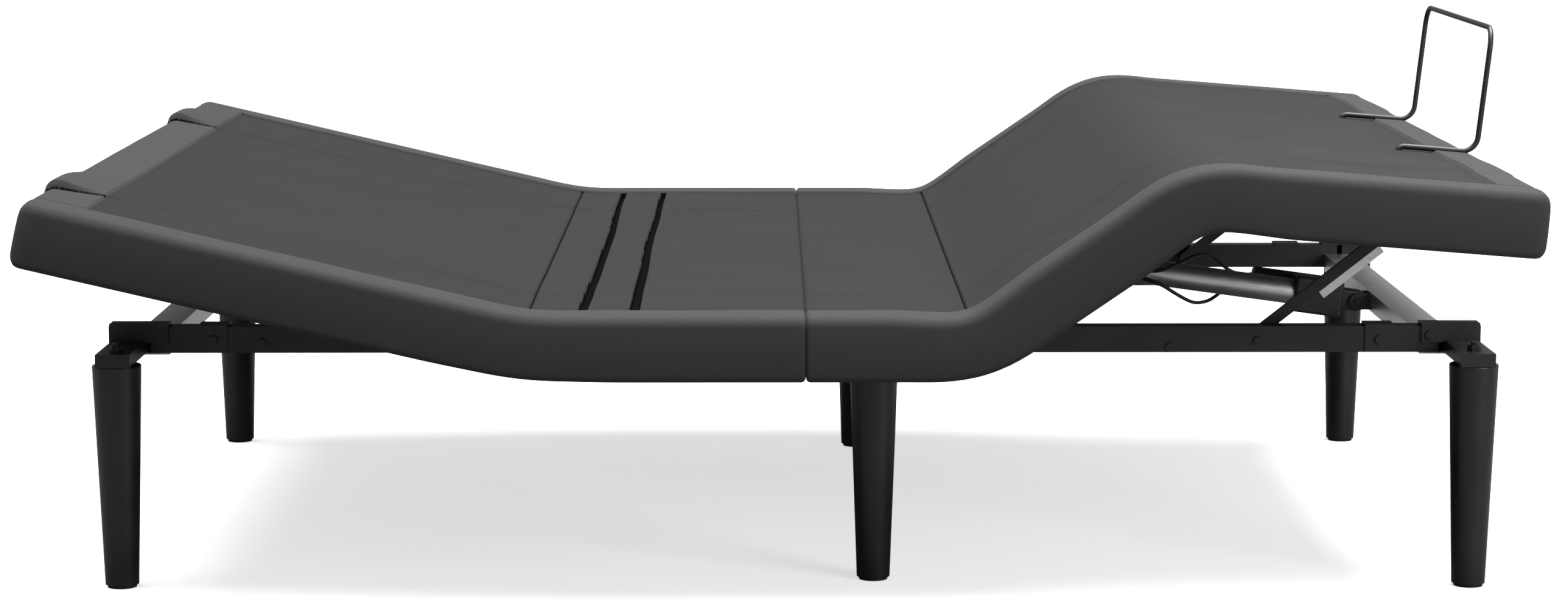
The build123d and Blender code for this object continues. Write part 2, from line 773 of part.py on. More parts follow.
socket_radius = 10.0
socket_drop = 12.0
with BuildPart() as bar_sockets:
    for side in (-1, 1):
        foot = calf.from_local_coords((bar_hook_u, -socket_drop, side * bar_y))
        with BuildSketch(Plane(origin=foot, z_dir=calf.y_dir)):
            Circle(socket_radius)
            Circle(bar_radius + bar_lift, mode=Mode.SUBTRACT)
        extrude(amount=board_low + socket_drop)
save("bar_sockets", bar_sockets)

# ---------------------------------------------------------------- power and control
box_ends = (-165.0, -25.0)
box_sides = (150.0, 290.0)
box_low = 333.0
box_round = 8.0
with BuildPart() as control_box:
    block(level, *box_ends, box_low, hinge_z + board_low, *box_sides)
    fillet(control_box.edges().filter_by(Axis.Z), box_round)
    block(level, -185, -160, 340, 360, 200, 230, Mode.SUBTRACT)  # power inlet
save("control_box", control_box)

cable_radius = 3.5
cable_corners = (20.0, 20.0, 40.0, 40.0, 30.0)
cable_path = [
    (-25, 220, 348), (20, 220, 348), (60, 275, 292), (130, 330, 292), (780, 330, 292),
    (830, 270, 292), (830, 60, 305),
]
with BuildPart() as motor_cable:
    with BuildLine():
        FilletPolyline(*cable_path, radius=cable_corners)
    with BuildSketch(Plane(origin=cable_path[0], z_dir=(1, 0, 0))):
        Circle(cable_radius)
    sweep()
    block(level, 822, 838, 297, 313, 40, 60)  # plug at the foot motor
save("motor_cable", motor_cable)

# Leads of the foot motor: wound round the tube from the motor to a plug clipped beside it.
# Each path point is (along the actuator, above its axis, to the left of it).
lead_radius = 2.8
lead_share = 0.45
plug_start, plug_end = 330.0, 356.0
plug_half = 9.0
plug_limits = (-46.0, -19.4)
lead_paths = [
    [(motor_cap_end, -7, 52), (188, -12, 51), (216, -34, 30), (246, -37, -8), (273, -23, -35),
     (302, -7, -37), (plug_start, -4, -28)],
    [(motor_cap_end, 7, 52), (186, 13, 51), (212, 35, 30), (240, 37, -8), (268, 25, -35),
     (299, 10, -45), (plug_start, 5, -38)],
]


def wide_arcs(points):
    """Radius at each corner of a path, as large as its two runs allow."""
    radii = []
    for before, at, after in zip(points, points[1:], points[2:]):
        run_in, run_out = at - before, after - at
        half_turn = radians(run_in.get_angle(run_out)) / 2
        radii.append(lead_share * min(run_in.length, run_out.length) / tan(half_turn))
    return radii


foot_line = actuator_lines["foot"]
with BuildPart() as motor_leads:
    for path in lead_paths:
        points = [foot_line.from_local_coords((u, w, -y)) for u, w, y in path]
        with BuildLine() as route:
            FilletPolyline(*points, radius=wide_arcs(points))
        with BuildSketch(Plane(origin=points[0], z_dir=foot_line.x_dir)) as section:
            Circle(lead_radius)
        sweep(section.sketch, path=route.line)
    block(foot_line, plug_start, plug_end, -plug_half, plug_half, *plug_limits)
save("motor_leads", motor_leads)
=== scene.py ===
import json
from math import pi, radians

import bpy
import numpy as np
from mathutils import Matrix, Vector


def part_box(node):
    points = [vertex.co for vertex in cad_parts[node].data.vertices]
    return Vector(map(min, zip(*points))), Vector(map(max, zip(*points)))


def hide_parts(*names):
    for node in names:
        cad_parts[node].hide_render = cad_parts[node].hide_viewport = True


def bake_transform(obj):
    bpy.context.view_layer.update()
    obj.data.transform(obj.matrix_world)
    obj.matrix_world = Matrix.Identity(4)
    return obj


# Adjustable bed base: sewn covers over the foam deck, a material for every part, a plain
# studio and the camera. Everything is in metres, in the part's own frame.
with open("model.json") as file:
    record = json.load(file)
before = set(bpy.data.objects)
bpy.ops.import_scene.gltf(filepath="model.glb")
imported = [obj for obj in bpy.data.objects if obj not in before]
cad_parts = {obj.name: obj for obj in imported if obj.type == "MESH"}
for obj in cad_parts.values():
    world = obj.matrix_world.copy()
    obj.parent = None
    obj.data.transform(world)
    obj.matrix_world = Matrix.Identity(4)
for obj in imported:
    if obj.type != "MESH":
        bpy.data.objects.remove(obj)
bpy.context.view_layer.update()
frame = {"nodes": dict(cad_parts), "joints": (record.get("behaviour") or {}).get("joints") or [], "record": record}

joints = {joint["name"]: joint for joint in frame["joints"]}
couplings = {c["joint"]: c for c in frame["record"]["behaviour"]["couplings"]}

# ---------------------------------------------------------------- deck places, from the frame
head_hinge = np.array(joints["head_tilt"]["pos_m"])[[0, 2]]
thigh_hinge = np.array(joints["thigh_tilt"]["pos_m"])[[0, 2]]
knee = np.array(joints["calf_fold"]["pos_m"])[[0, 2]]
head_tilt = -radians(joints["head_tilt"]["range_deg"][0])
thigh_tilt = -radians(joints["thigh_tilt"]["range_deg"][0])
calf_tilt = thigh_tilt * (couplings["calf_fold"]["ratio"] - 1)
seat_low, seat_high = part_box("seat_padding_head")
head_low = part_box("head_padding")[0]
calf_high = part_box("calf_padding")[1]
half_width = seat_high.y
pad_top = seat_high.z - head_hinge[1]
skirt_low = seat_low.z - head_hinge[1]
split = (seat_high.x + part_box("seat_padding_foot")[0].x) / 2
head_length = (head_hinge[0] - head_low.x + skirt_low * np.sin(head_tilt)) / np.cos(head_tilt)
calf_length = (calf_high.x - knee[0] - pad_top * np.sin(calf_tilt)) / np.cos(calf_tilt)
thigh_length = float(np.hypot(*(knee - thigh_hinge)))
board_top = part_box("seat_board_head")[1].z - head_hinge[1]

# ---------------------------------------------------------------- cover sizes, in metres
# Skirt round the deck, and the lining that lies on the boards
SKIRT_THICK = 0.038
END_WALL = 0.040
END_OUT = 0.006
SIDE_BULGE = 0.0015
LINER_LIFT = 0.0006
LINER_OFF_HEM = 0.0005
LINER_TAPER = 0.004

# Rounded edges: top and foot of the ends, top and foot of the sides, corners, the split
TOP_ROLL = 0.018
END_LOW_ROLL = 0.016
SIDE_ROLL = 0.013
LOW_ROLL = 0.009
CORNER_ROLL = 0.024
CORNER_FROM = 0.6
SPLIT_ROLL = 0.006

# Border bands, crowned over part of a half wave, and the sunken panel between them
SEAM_IN = 0.070
END_BAND = 0.077
FOOT_BAND = 0.064
BAND_CROWN = 0.0035
CROWN_START = 0.12
CROWN_REACH = 0.75
END_BAND_HIGH = 0.8
PANEL_SINK = 0.0015
BAND_STEP = 0.004

# Seams round the panel and over the hinges
SEAM_WIDE = 0.0024
SEAM_DEEP = 0.0030
# Width of near-black cloth painted as shade in a seam's crease
SEAM_SHADE = 0.0010
HINGE_SEAM_WIDE = 1.6 * SEAM_WIDE
HINGE_SEAM_DEEP = 1.2 * SEAM_DEEP
# Width of near-black cloth painted as shade in a hinge seam's crease
HINGE_SEAM_SHADE = 0.0014

# Faint rumples: waves along the bed that swing as they cross it, times waves across it
RUMPLE_HIGH = 0.0004
RUMPLE_ALONG = 31
RUMPLE_ACROSS = 17
RUMPLE_SWING = (3, 7)

# Gaps between the slats, as distances from the head hinge, and the waves in their edges
SLAT_JOINTS = (0.074, 0.139)
SLAT_WAVES = ((0.0016, 4.1, 40), (0.0006, 11, 70))
GAP_HALF = 0.0018
GAP_SPREAD = 0.0012
GAP_DEEP = 0.0102
GAP_SOFT = 0.004
GAP_LIP_HIGH = 0.0012
GAP_LIP_OFF = 0.006
GAP_LIP_WIDE = 0.012
# Near-black cloth reaches this far past a gap's half width: painted shade down the gap's sides, over the black
# liner under the slats
GAP_SHADE = 0.0024

# Slits at the head end, each as its Y and how far it leans over the band's width
SLITS = ((-0.590, 0.040), (0.392, 0.028))
SLIT_CURVE = 1.4
SLIT_REACH = 1.2
SLIT_OFFSET = 0.001
SLIT_HALF = 0.0018
SLIT_SOFT = 0.0030
SLIT_DEEP = 0.007
SLIT_CLOSES = 0.93
# Near-black cloth painted as shade in a slit: its half width, and the share of the end band that it runs along
SLIT_SHADE = 0.0038
SLIT_SHADE_LONG = 0.98

# Cloth that stands up beside each slit: its height, steep edge, crest, length and fall inward
LUMP_HIGH = 0.013
LUMP_EDGE = 0.011
LUMP_CREST = 0.07
LUMP_LONG = 0.24
LUMP_FALL = 0.85

# Bends: the share of the shape that is the flat deck bent, how far its shear takes to build
# up, and the share of the thigh at which the seat cover meets the leg cover
FOAM_GIVE = 0.40
SHEAR_REACH = 0.06
BEND_STEPS = 30
COVER_JOIN = 0.45

# Cover meshes: steps along and across, steps round the profile, and the places of the cloths
STEP = 0.012
STEP_ACROSS = 0.013
STEP_LEAST = 0.0002
WALL_STEP = 0.001
HEM_FLAT = 0.008
HEM_STEPS = 3
LOW_ROLL_STEPS = 6
SIDE_STEPS = 9
ROLL_STEPS = 9
FULL_TOP = 0.99
SHARP_ANGLE = radians(50)
# The third cloth place is near-black: painted shade in gaps, slits and seams, and the liner inside the cover
PANEL, BORDER, SHADE_AND_LINER = 0, 1, 2
seam_y = half_width - SEAM_IN


def smooth(t):
    """Smoothstep from 0 to 1, clipped."""
    t = np.clip(t, 0, 1)
    return t * t * (3 - 2 * t)


def level_off(t):
    """From -1 to 1, steepest in the middle and level at both ends, clipped."""
    t = np.clip(t, -1, 1)
    return t * (1.5 - 0.5 * t * t)


def groove(distance, half, soft):
    """1 in the middle of a groove, falling to 0 over its soft edge."""
    return 1 - smooth((np.abs(distance) - half) / soft)


class Bend:
    """One hinge line of the deck: maps (along, height) on the flat deck to (x, z) at rest.

    The foam rounds a hinge off, by low_half at the hem and high_half at the top. Part of that
    shape is the flat deck simply bent about the hinge, so that it also lies flat again.
    """

    def __init__(self, at, pivot, before, after, low_half, high_half, reach):
        self.at, self.pivot, self.turn, self.reach = at, pivot, after - before, reach
        self.low_half, self.high_half = low_half, high_half
        self.before = np.array([np.cos(before), np.sin(before)])
        self.after = np.array([np.cos(after), np.sin(after)])
        self.middle = (self.before + self.after) / np.linalg.norm(self.before + self.after)
        normals = [np.array([-d[1], d[0]]) for d in (self.before, self.after)]
        self.normal = normals[0]
        self.mitre = (normals[0] + normals[1]) / (1 + normals[0] @ normals[1])
        self.slope = np.tan(self.turn / 2)

    def ends(self):
        """Where a cover's bend starts and ends, as points of the frame."""
        reach = self.middle * self.reach
        return [(float(x), 0.0, float(z)) for x, z in (self.pivot - reach, self.pivot + reach)]

    def rounded(self, off, height):
        """Straight sections joined by a rounded corner."""
        share = (height - skirt_low) / (pad_top - skirt_low)
        half = self.low_half + (self.high_half - self.low_half) * np.clip(share, 0, 1)
        off = off - height * self.slope * level_off(off / SHEAR_REACH)
        past = np.where(off > half, off, np.where(off < -half, 0, (off + half) ** 2 / (4 * half)))
        return (self.mitre * height[..., None] + self.before * (off - past)[..., None]
                + self.after * past[..., None])

    def turned(self, off, height, guess):
        flat = self.before * off[..., None] + self.normal * height[..., None]
        point = guess
        for _ in range(BEND_STEPS):
            angle = self.turn * smooth((point @ self.middle / self.reach + 1) / 2)
            cos, sin = np.cos(angle), np.sin(angle)
            turned = np.stack([flat[..., 0] * cos - flat[..., 1] * sin,
                               flat[..., 0] * sin + flat[..., 1] * cos], -1)
            point = (point + turned) / 2
        return point

    def place(self, along, height):
        """Where points of the flat deck lie at rest, as their x and z in the frame."""
        off = along - self.at
        rounded = self.rounded(off, height)
        turned = self.turned(off, height, rounded)
        point = self.pivot + FOAM_GIVE * turned + (1 - FOAM_GIVE) * rounded
        return point[..., 0], point[..., 1]


knee_at = thigh_hinge[0] + thigh_length
head_bend = Bend(head_hinge[0], head_hinge, -head_tilt, 0.0,
                 low_half=0.140, high_half=0.075, reach=0.080)
thigh_bend = Bend(thigh_hinge[0], thigh_hinge, 0.0, thigh_tilt,
                  low_half=0.105, high_half=0.022, reach=0.100)
knee_bend = Bend(knee_at, knee, thigh_tilt, -calf_tilt,
                 low_half=0.022, high_half=0.090, reach=0.105)
head_end = head_hinge[0] - head_length - END_OUT
foot_end = knee_at + calf_length + END_OUT
mid_thigh = thigh_hinge[0] + COVER_JOIN * thigh_length
slat_gaps = [head_hinge[0] + joint for joint in SLAT_JOINTS]


# ---------------------------------------------------------------- relief of the cover's top
def slit_line(along, outer_y, lean):
    """Y of a corner slit, which leans inward as it leaves the head end."""
    inward = np.clip((along - head_end) / END_BAND, 0, SLIT_REACH)
    return outer_y + lean * inward ** SLIT_CURVE


def head_lumps(along, y):
    """Fabric that stands up beside each corner slit, and the slit's own depth."""
    inward = np.clip((along - head_end) / END_BAND, 0, 1)
    rise = np.zeros_like(y)
    for outer_y, lean in SLITS:
        past = y - slit_line(along, outer_y, lean)
        swell = smooth(past / LUMP_EDGE)
        swell = swell * (1 - smooth((past - LUMP_CREST) / (LUMP_LONG - LUMP_CREST)))
        rise += LUMP_HIGH * swell * (1 - LUMP_FALL * smooth(inward))
        cut = groove(past + SLIT_OFFSET, SLIT_HALF, SLIT_SOFT)
        cut = cut * (1 - smooth((inward - SLIT_CLOSES) / (1 - SLIT_CLOSES)))
        rise -= SLIT_DEEP * cut
    return rise


def seams_across(y):
    """1 on the sewn panel, 0 on the side bands."""
    return smooth((seam_y - np.abs(y)) / BAND_STEP)


def gap_half(y):
    """A slat gap is wider towards the near side, where the slats have crept apart."""
    return GAP_HALF + GAP_SPREAD * (1 - y / half_width)


def slat_wander(at, y):
    """The slats' edges run a little unevenly across the bed."""
    return sum(size * np.sin(rate * y + shift * at) for size, rate, shift in SLAT_WAVES)


def relief(along, y):
    """Height of the cover's top above the flat pad, in metres."""
    inner = seams_across(y)
    side = np.abs(y) - seam_y
    band = np.clip(side / (SEAM_IN - SIDE_ROLL), 0, 1)
    crown = np.sin(pi * np.minimum(band * CROWN_REACH + CROWN_START, 1))
    height = BAND_CROWN * crown * (side > 0) - PANEL_SINK * inner
    in_panel = smooth((along - head_end - END_BAND) / BAND_STEP)
    in_panel *= smooth((foot_end - FOOT_BAND - along) / BAND_STEP)
    height += (BAND_CROWN + PANEL_SINK) * END_BAND_HIGH * inner * (1 - in_panel)
    height -= SEAM_DEEP * groove(side, SEAM_WIDE / 3, SEAM_WIDE) * in_panel
    for at in (head_end + END_BAND, foot_end - FOOT_BAND):
        height -= SEAM_DEEP * groove(along - at, SEAM_WIDE / 3, SEAM_WIDE) * inner
    for at in (head_hinge[0], thigh_hinge[0]):
        height -= HINGE_SEAM_DEEP * groove(along - at, SEAM_WIDE / 3, HINGE_SEAM_WIDE) * inner
    for at in slat_gaps:
        off = along - at - slat_wander(at, y)
        height -= GAP_DEEP * groove(off, gap_half(y), GAP_SOFT) * inner
        height += GAP_LIP_HIGH * groove(off, gap_half(y) + GAP_LIP_OFF, GAP_LIP_WIDE) * inner
    swing, rate = RUMPLE_SWING
    waves = np.sin(RUMPLE_ALONG * along + swing * np.sin(rate * y))
    rumples = RUMPLE_HIGH * waves * np.sin(RUMPLE_ACROSS * y)
    return height + head_lumps(along, y) + rumples


# ---------------------------------------------------------------- cover mesh
def spread(low, high, step, marks=(), fine=0.0011, reach=0.009, least=0.3):
    """Stations from low to high, step apart, and fine ones within reach of each mark.

    None are nearer together than the least share of the fine step.
    """
    stations = list(np.linspace(low, high, max(2, round((high - low) / step) + 1)))
    for mark in marks:
        near = np.arange(max(low, mark - reach), min(high, mark + reach), fine)
        stations = [s for s in stations if abs(s - mark) > reach - fine / 2 or s in (low, high)]
        stations += list(near)
    stations = np.unique(np.round(stations, 6))
    keep = np.concatenate([[True], np.diff(stations) > least * fine])
    return stations[keep]


def rolled_end(roll):
    """Distances from a rolled end, closer together where the roll is steep."""
    return roll * (1 - np.cos(np.linspace(0, pi / 2, ROLL_STEPS)))


def outer_profile(marks):
    """(y, height, share of the top's relief) round the cover, from skirt hem to skirt hem."""
    hem = half_width - SKIRT_THICK
    flat = np.linspace(hem + HEM_FLAT, half_width - LOW_ROLL, HEM_STEPS)
    points = [(y, skirt_low, 0.0) for y in (hem, *flat)]
    for turn in np.linspace(0, pi / 2, LOW_ROLL_STEPS)[1:]:
        y = half_width - LOW_ROLL + LOW_ROLL * np.sin(turn)
        points.append((y, skirt_low + LOW_ROLL * (1 - np.cos(turn)), 0.0))
    low, high = skirt_low + LOW_ROLL, pad_top - SIDE_ROLL
    for rise in np.linspace(0, 1, SIDE_STEPS)[1:]:
        bulge = SIDE_BULGE * 4 * rise * (1 - rise)
        points.append((half_width + bulge, low + (high - low) * rise, 0.0))
    for turn in np.linspace(0, pi / 2, ROLL_STEPS)[1:]:
        y = half_width - SIDE_ROLL * (1 - np.cos(turn))
        points.append((y, high + SIDE_ROLL * np.sin(turn), float(np.sin(turn) ** 2)))
    top_edge = half_width - SIDE_ROLL
    inward = spread(-top_edge, top_edge, STEP_ACROSS, (*marks, -seam_y, seam_y))
    right = [(-y, w, share) for y, w, share in points[:-1]]
    left = [(y, w, share) for y, w, share in reversed(points[:-1])]
    top = [(y, pad_top, 1.0) for y in inward]
    return np.array(right + top + left), len(points) - 1


def inset(distance, roll):
    """How far a rolled end stands in at a distance from it."""
    if roll == 0:
        return np.zeros_like(distance)
    left = np.clip(roll - distance, 0, roll)
    return roll - np.sqrt(roll ** 2 - left ** 2)


def end_wall(stations, end, way, wall):
    """Swaps the stations near an end wall's inner face for the two that make it."""
    stations = stations[np.abs(np.abs(stations - end) - wall) > 2 * WALL_STEP]
    faces = [end + way * wall, end + way * (wall + WALL_STEP)]
    return np.unique(np.concatenate([stations, faces]))


def make_cover(name, bend, low, high, rolls, walls, marks, y_marks=()):
    """One sewn cover from low to high along the flat deck, as a closed mesh placed at rest."""
    ends = [low + rolled_end(rolls[0]), high - rolled_end(rolls[1])]
    middle = spread(low + rolls[0], high - rolls[1], STEP, marks)
    stations = np.unique(np.round(np.concatenate([ends[0], middle, ends[1]]), 6))
    stations = stations[np.concatenate([[True], np.diff(stations) > STEP_LEAST])]
    for end, way, wall in ((low, 1, walls[0]), (high, -1, walls[1])):
        if wall:
            stations = end_wall(stations, end, way, wall)
    profile, side_count = outer_profile(y_marks)
    along, y = np.meshgrid(stations, profile[:, 0], indexing="ij")
    height = np.broadcast_to(profile[:, 1], along.shape) + relief(along, y) * profile[:, 2]

    edge = half_width - SKIRT_THICK
    count = len(profile)
    steps = np.minimum(np.arange(count), np.arange(count)[::-1])
    side = np.clip(steps / side_count, 0, 1)
    liner_top = board_top + LINER_LIFT
    liner_low = skirt_low + LINER_OFF_HEM
    inner_edge = edge - LINER_TAPER
    inner_y = np.where(steps < side_count, np.sign(profile[:, 0]) * (edge - LINER_TAPER * side),
                       profile[:, 0] * inner_edge / (half_width - SIDE_ROLL))
    liner = np.broadcast_to(liner_low + (liner_top - liner_low) * side, along.shape).copy()
    for end, wall in ((low, walls[0]), (high, walls[1])):
        if wall:
            solid = np.abs(stations - end) < wall + WALL_STEP / 2
            liner[solid] = liner_low
    inner = np.broadcast_to(inner_y, along.shape)

    y = y.copy()
    for end, roll, wall in ((low, rolls[0], walls[0]), (high, rolls[1], walls[1])):
        distance = np.abs(along - end)
        corner = CORNER_ROLL if wall else roll
        outside = np.clip((np.abs(y) - CORNER_FROM) / (half_width - CORNER_FROM), 0, 1) ** 2
        y -= np.sign(y) * inset(distance, corner) * outside
        share = np.clip((height - skirt_low) / (pad_top - skirt_low), 0, 1)
        low_roll = END_LOW_ROLL if wall else roll
        height = height - inset(distance, roll) * share + inset(distance, low_roll) * (1 - share)
        share = np.clip((liner - skirt_low) / (pad_top - skirt_low), 0, 1)
        liner = liner + inset(distance, low_roll) * (1 - share)

    outer_x, outer_z = bend.place(along, height)
    inner_x, inner_z = bend.place(along, liner)
    shell = np.stack([outer_x, y, outer_z], -1).reshape(-1, 3)
    lining = np.stack([inner_x, inner, inner_z], -1).reshape(-1, 3)
    return build_skin(name, shell, lining, along, profile)


def build_skin(name, shell, lining, along, profile):
    """Closed mesh from an outer grid and an inner one, with weave coordinates and cloths."""
    rows, count = along.shape
    total = rows * count
    index = np.arange(total).reshape(rows, count)
    quads = np.stack([index[:-1, :-1], index[:-1, 1:], index[1:, 1:], index[1:, :-1]], -1)
    outside = quads.reshape(-1, 4)
    inside = outside[:, ::-1] + total
    hems = []
    for column, flip in ((0, False), (count - 1, True)):
        a, b = index[:-1, column], index[1:, column]
        ring = np.stack([a, b, b + total, a + total], -1)
        hems.append(ring[:, ::-1] if flip else ring)
    caps = []
    for row, flip in ((0, True), (rows - 1, False)):
        a, b = index[row, :-1], index[row, 1:]
        ring = np.stack([a, b, b + total, a + total], -1)
        caps.append(ring[:, ::-1] if flip else ring)
    faces = np.concatenate([outside, inside, *hems, *caps])
    mesh = bpy.data.meshes.new(name)
    mesh.from_pydata(np.concatenate([shell, lining]).tolist(), [], faces.tolist())
    girth = np.concatenate([[0], np.cumsum(np.hypot(*np.diff(profile[:, :2], axis=0).T))])
    weave = np.stack([along, np.broadcast_to(girth, along.shape), 0 * along], -1).reshape(-1, 3)
    threads = mesh.attributes.new("threads", "FLOAT_VECTOR", "POINT")
    threads.data.foreach_set("vector", np.concatenate([weave, weave]).astype(np.float32).ravel())

    rest = np.full(len(faces) - len(outside), BORDER)
    rest[:len(inside)] = SHADE_AND_LINER
    cloths = np.concatenate([choose_cloths(along, profile), rest])
    mesh.polygons.foreach_set("material_index", cloths.astype(np.int32))
    mesh.polygons.foreach_set("use_smooth", np.ones(len(faces), bool))
    mesh.validate()
    mesh.update()
    cover = bpy.data.objects.new(name, mesh)
    bpy.context.scene.collection.objects.link(cover)
    mark_sharp(mesh, SHARP_ANGLE)
    return cover


def choose_cloths(along, profile):
    """Material place of each outer face: panel, border, or near-black cloth, which is painted shade in gaps, slits
    and seams.
    """
    middle = along[:-1, :-1] * 0.5 + along[1:, 1:] * 0.5
    across = np.broadcast_to((profile[:-1, 0] + profile[1:, 0]) / 2, middle.shape)
    on_top = np.broadcast_to(profile[:-1, 2] * profile[1:, 2] > FULL_TOP, middle.shape)
    between = on_top & (middle > head_end + END_BAND) & (middle < foot_end - FOOT_BAND)
    panel = between & (np.abs(across) < seam_y)
    # Near-black cloth painted as shade in the seams round the panel and over the hinges
    dark = between & (np.abs(np.abs(across) - seam_y) < SEAM_SHADE)
    # Slat gaps: near-black cloth, painted shade over the black liner under the slats
    for at in slat_gaps:
        off = np.abs(middle - at - slat_wander(at, across))
        dark |= panel & (off < gap_half(across) + GAP_SHADE)
    for at in (head_hinge[0], thigh_hinge[0]):
        dark |= panel & (np.abs(middle - at) < HINGE_SEAM_SHADE)
    # Slits: near-black cloth painted as the shade in each crease
    band = on_top & (middle < head_end + END_BAND * SLIT_SHADE_LONG)
    for outer_y, lean in SLITS:
        off = np.abs(across - slit_line(middle, outer_y, lean) + SLIT_OFFSET / 2)
        dark |= band & (off < SLIT_SHADE)
    return np.where(dark, SHADE_AND_LINER, np.where(panel, PANEL, BORDER)).ravel()


def mark_sharp(mesh, angle):
    """Sharp shading where two faces meet at more than the angle, as along hems and caps."""
    normals = np.zeros(len(mesh.polygons) * 3, np.float32)
    mesh.polygons.foreach_get("normal", normals)
    normals = normals.reshape(-1, 3)
    loop_edges = np.zeros(len(mesh.loops), np.int32)
    mesh.loops.foreach_get("edge_index", loop_edges)
    totals = np.zeros(len(mesh.polygons), np.int32)
    mesh.polygons.foreach_get("loop_total", totals)
    owner = np.repeat(np.arange(len(totals)), totals)
    order = np.argsort(loop_edges, kind="stable")
    edges, owners = loop_edges[order], owner[order]
    pair = np.flatnonzero(edges[:-1] == edges[1:])
    turn = np.einsum("ij,ij->i", normals[owners[pair]], normals[owners[pair + 1]])
    sharp = np.zeros(len(mesh.edges), bool)
    sharp[edges[pair]] = turn < np.cos(angle)
    attribute = mesh.attributes.get("sharp_edge") or mesh.attributes.new(
        "sharp_edge", "BOOLEAN", "EDGE")
    attribute.data.foreach_set("value", sharp)


# ---------------------------------------------------------------- materials
class Shader:
    """A node material with short calls for the nodes that the surfaces here need."""

    def __init__(self, name, roughness=0.5, metallic=0.0, **sockets):
        self.material = bpy.data.materials.new(name)
        self.material.use_nodes = True
        self.tree = self.material.node_tree
        self.surface = self.tree.nodes["Principled BSDF"]
        self.surface.inputs["Roughness"].default_value = roughness
        self.surface.inputs["Metallic"].default_value = metallic
        for socket, value in sockets.items():
            self.surface.inputs[socket.replace("_", " ")].default_value = value

    def node(self, kind, inputs=(), **settings):
        made = self.tree.nodes.new(kind)
        for key, value in settings.items():
            setattr(made, key, value)
        for key, value in dict(inputs).items():
            if isinstance(value, bpy.types.NodeSocket):
                self.tree.links.new(value, made.inputs[key])
            else:
                made.inputs[key].default_value = value
        return made

    def math(self, operation, a, b=0.0):
        return self.node("ShaderNodeMath", {0: a, 1: b}, operation=operation).outputs[0]

    def weighted(self, *parts):
        """Sum of values, each times its own weight."""
        total, *others = [self.math("MULTIPLY", value, weight) for value, weight in parts]
        for other in others:
            total = self.math("ADD", total, other)
        return total

    def place(self):
        return self.node("ShaderNodeTexCoord").outputs["Object"]

    def stretched(self, vector, scale):
        return self.node("ShaderNodeVectorMath", {0: vector, 1: scale},
                         operation="MULTIPLY").outputs[0]

    def noise(self, vector, scale, detail=3.0):
        inputs = {"Vector": vector, "Scale": scale, "Detail": detail}
        return self.node("ShaderNodeTexNoise", inputs).outputs["Fac"]

    def between(self, value, low, high, out_low=0.0, out_high=1.0):
        inputs = {"Value": value, "From Min": low, "From Max": high, "To Min": out_low,
                  "To Max": out_high}
        return self.node("ShaderNodeMapRange", inputs).outputs[0]

    def colours(self, value, first, second):
        ramp = self.node("ShaderNodeValToRGB", {"Fac": value})
        ramp.color_ramp.elements[0].color = (*first, 1)
        ramp.color_ramp.elements[1].color = (*second, 1)
        return ramp.outputs["Color"]

    def wire(self, socket, output):
        self.tree.links.new(output, self.surface.inputs[socket])

    def bump(self, height, distance, strength=1.0):
        inputs = {"Height": height, "Distance": distance, "Strength": strength}
        self.wire("Normal", self.node("ShaderNodeBump", inputs).outputs["Normal"])


def woven(name, dark, light, thread, sheen, deep, gloss=0.25):
    """Cloth of crossing threads, with uneven yarn and faint rubbed patches."""
    cloth = Shader(name, roughness=0.86, Sheen_Weight=sheen, Sheen_Roughness=0.45,
                   Specular_IOR_Level=gloss)
    threads = cloth.node("ShaderNodeAttribute", attribute_name="threads").outputs["Vector"]
    split_axes = cloth.node("ShaderNodeSeparateXYZ", {0: threads})
    turns = pi / thread
    warp = cloth.math("SINE", cloth.math("MULTIPLY", split_axes.outputs[0], turns))
    weft = cloth.math("SINE", cloth.math("MULTIPLY", split_axes.outputs[1], turns))
    cross = cloth.math("MULTIPLY", warp, weft)
    yarn = cloth.noise(cloth.stretched(threads, (0.25, 1.0, 1.0)), scale=900.0, detail=2.0)
    slub = cloth.noise(cloth.stretched(threads, (1.0, 0.2, 1.0)), scale=420.0, detail=2.0)
    rubbed = cloth.noise(threads, scale=5.0, detail=4.0)
    weave = cloth.between(cross, -1.0, 1.0)
    tone = cloth.weighted((weave, 0.35), (yarn, 0.35), (slub, 0.15), (rubbed, 0.30))
    cloth.wire("Base Color", cloth.colours(cloth.between(tone, 0.3, 0.85), dark, light))
    cloth.wire("Roughness", cloth.between(rubbed, 0.3, 0.7, 0.80, 0.92))
    cloth.bump(cloth.weighted((weave, 0.7), (yarn, 0.5)), deep, strength=0.5)
    return cloth.material


def coated(name, dark, light, roughness, grain, deep, **sockets):
    """Painted or powder-coated steel: fine orange peel, duller and brighter patches."""
    paint = Shader(name, roughness=roughness, **sockets)
    place = paint.place()
    peel = paint.noise(place, grain)
    wear = paint.noise(place, scale=9.0, detail=5.0)
    paint.wire("Base Color", paint.colours(paint.between(wear, 0.35, 0.75), dark, light))
    rough = paint.between(wear, 0.3, 0.7, roughness - 0.06, roughness + 0.08)
    paint.wire("Roughness", rough)
    paint.bump(peel, deep, strength=0.4)
    return paint.material


def galvanised(name):
    """Zinc-coated steel with faint spangle and rolling marks."""
    zinc = Shader(name, roughness=0.34, metallic=0.85)
    place = zinc.place()
    cells = zinc.node("ShaderNodeTexVoronoi", {"Vector": place, "Scale": 260.0})
    spangle = zinc.node("ShaderNodeSeparateColor", {0: cells.outputs["Color"]}).outputs[0]
    rolled = zinc.noise(zinc.stretched(place, (1.0, 40.0, 40.0)), scale=8.0)
    tone = zinc.weighted((spangle, 0.4), (rolled, 0.6))
    zinc.wire("Base Color", zinc.colours(tone, (0.74, 0.74, 0.74), (0.95, 0.95, 0.94)))
    zinc.wire("Roughness", zinc.between(tone, 0.2, 0.8, 0.26, 0.42))
    zinc.bump(rolled, 0.0002, strength=0.3)
    return zinc.material


